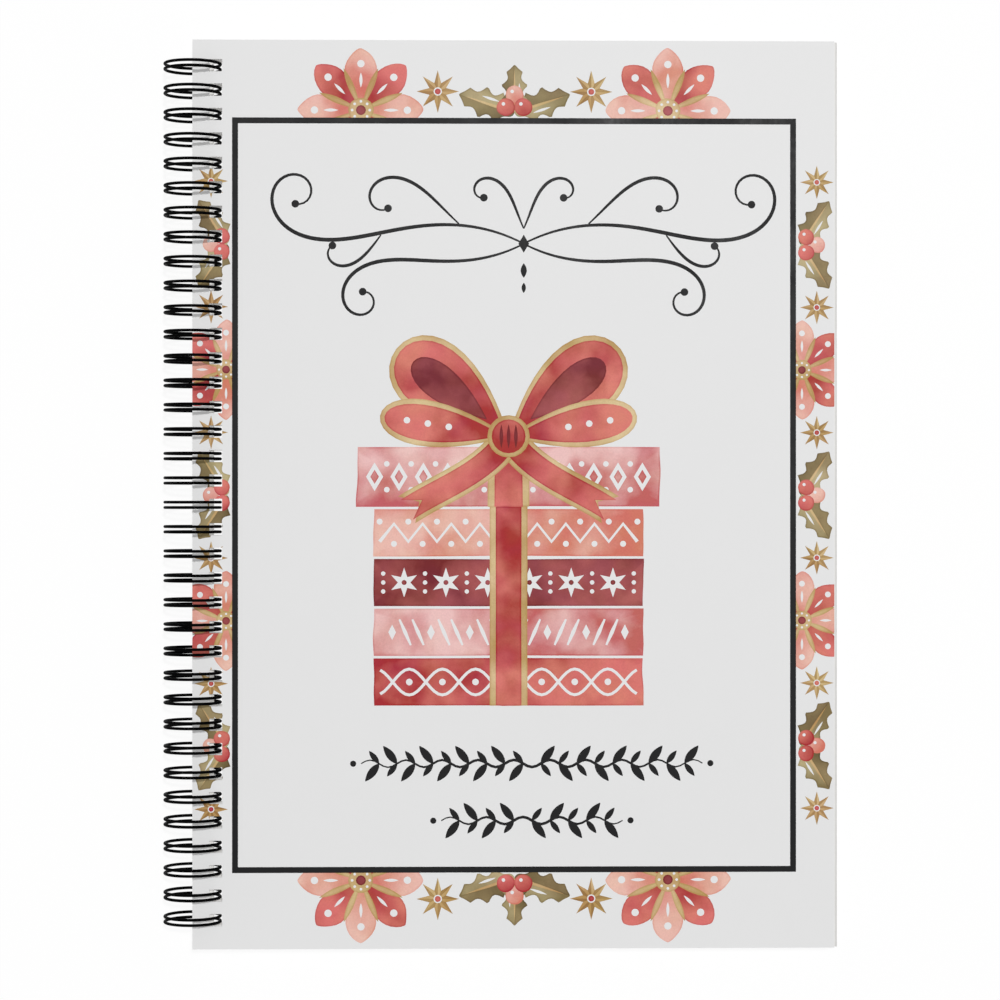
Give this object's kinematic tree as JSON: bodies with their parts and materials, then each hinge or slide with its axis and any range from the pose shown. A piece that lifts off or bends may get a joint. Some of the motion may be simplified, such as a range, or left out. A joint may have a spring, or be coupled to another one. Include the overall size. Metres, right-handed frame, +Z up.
{
  "type": "gift card holder",
  "caption": "Wire-bound A5 book of card pockets lying shut, with a printed front cover, black twin-loop wire spine and leaves that turn to open.",
  "frame": {"origin": "middle of the footprint on the table, under the shut book", "axes": "+Z up from the table, +Y along the spine to the head of the cover, +X from the wire spine to the fore-edge"},
  "size_m": [0.1562, 0.21, 0.0135],
  "materials": {
    "wire_black": "satin",
    "cover_print": "satin print",
    "back_card": "matte",
    "leaf_card": "matte",
    "panel_card": "matte",
    "tape_foam": "matte"
  },
  "bodies": {
    "back": {"back_cover": "back_card", "twin_loop_wire": "wire_black"},
    "leaf_1": {"leaf_1": "leaf_card", "pocket_1_head": "panel_card", "tape_1_head_left": "tape_foam", "tape_1_head_right": "tape_foam", "tape_1_head_base": "tape_foam", "pocket_1_foot": "panel_card", "tape_1_foot_left": "tape_foam", "tape_1_foot_right": "tape_foam", "tape_1_foot_base": "tape_foam"},
    "leaf_2": {"leaf_2": "leaf_card", "pocket_2_head": "panel_card", "tape_2_head_left": "tape_foam", "tape_2_head_right": "tape_foam", "tape_2_head_base": "tape_foam", "pocket_2_foot": "panel_card", "tape_2_foot_left": "tape_foam", "tape_2_foot_right": "tape_foam", "tape_2_foot_base": "tape_foam"},
    "leaf_3": {"leaf_3": "leaf_card", "pocket_3_head": "panel_card", "tape_3_head_left": "tape_foam", "tape_3_head_right": "tape_foam", "tape_3_head_base": "tape_foam", "pocket_3_foot": "panel_card", "tape_3_foot_left": "tape_foam", "tape_3_foot_right": "tape_foam", "tape_3_foot_base": "tape_foam"},
    "leaf_4": {"leaf_4": "leaf_card", "pocket_4_head": "panel_card", "tape_4_head_left": "tape_foam", "tape_4_head_right": "tape_foam", "tape_4_head_base": "tape_foam", "pocket_4_foot": "panel_card", "tape_4_foot_left": "tape_foam", "tape_4_foot_right": "tape_foam", "tape_4_foot_base": "tape_foam"},
    "front": {"front_cover": "cover_print"}
  },
  "joints": [
    {"name": "leaf_4_hinge", "type": "hinge", "parent": "back", "child": "leaf_4", "pos_m": [-0.07135, 0, 0.00675], "axis": [0, -1, 0], "range_deg": [0, 180]},
    {"name": "leaf_3_hinge", "type": "hinge", "parent": "leaf_4", "child": "leaf_3", "pos_m": [-0.07135, 0, 0.00675], "axis": [0, -1, 0], "range_deg": [0, 180]},
    {"name": "leaf_2_hinge", "type": "hinge", "parent": "leaf_3", "child": "leaf_2", "pos_m": [-0.07135, 0, 0.00675], "axis": [0, -1, 0], "range_deg": [0, 180]},
    {"name": "leaf_1_hinge", "type": "hinge", "parent": "leaf_2", "child": "leaf_1", "pos_m": [-0.07135, 0, 0.00675], "axis": [0, -1, 0], "range_deg": [0, 180]},
    {"name": "front_hinge", "type": "hinge", "parent": "leaf_1", "child": "front", "pos_m": [-0.07135, 0, 0.00675], "axis": [0, -1, 0], "range_deg": [0, 180]}
  ]
}
